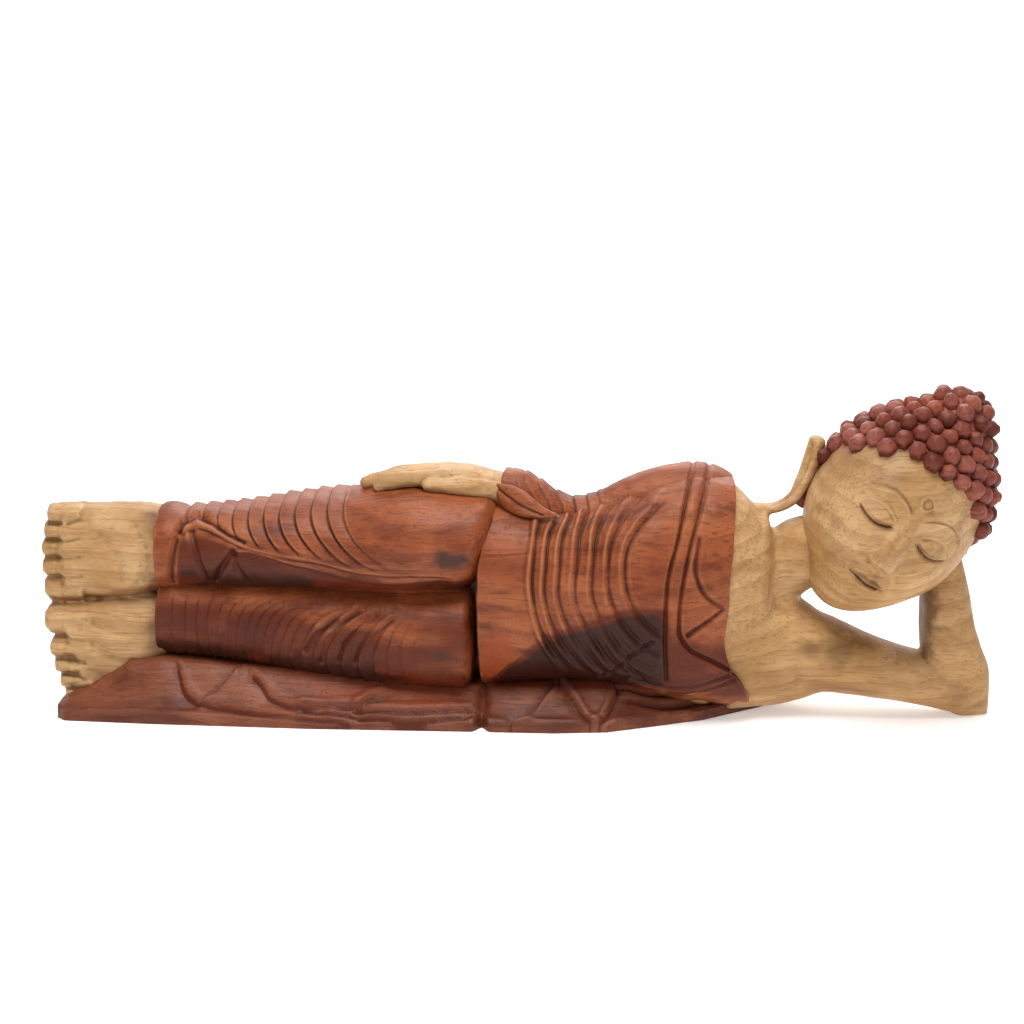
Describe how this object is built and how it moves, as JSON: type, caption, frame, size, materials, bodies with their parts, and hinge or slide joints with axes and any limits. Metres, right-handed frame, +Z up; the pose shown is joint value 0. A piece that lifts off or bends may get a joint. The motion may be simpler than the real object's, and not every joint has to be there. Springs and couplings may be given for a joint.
{
  "type": "reclining buddha statue",
  "caption": "Carved wooden figure of a reclining Buddha with a curled topknot, lying on a draped slab with one hand under its head.",
  "frame": {"origin": "middle of the footprint's bounding box, on the flat underside", "axes": "+X from the feet to the propped head, -Y where the face looks, +Z up"},
  "size_m": [0.5978, 0.1228, 0.2103],
  "materials": {
    "carved_wood": "waxed satin, stained red-brown on robe, hair and slab, bare on skin"
  },
  "bodies": {
    "root": {"reclining_buddha": "carved_wood"}
  },
  "joints": []
}
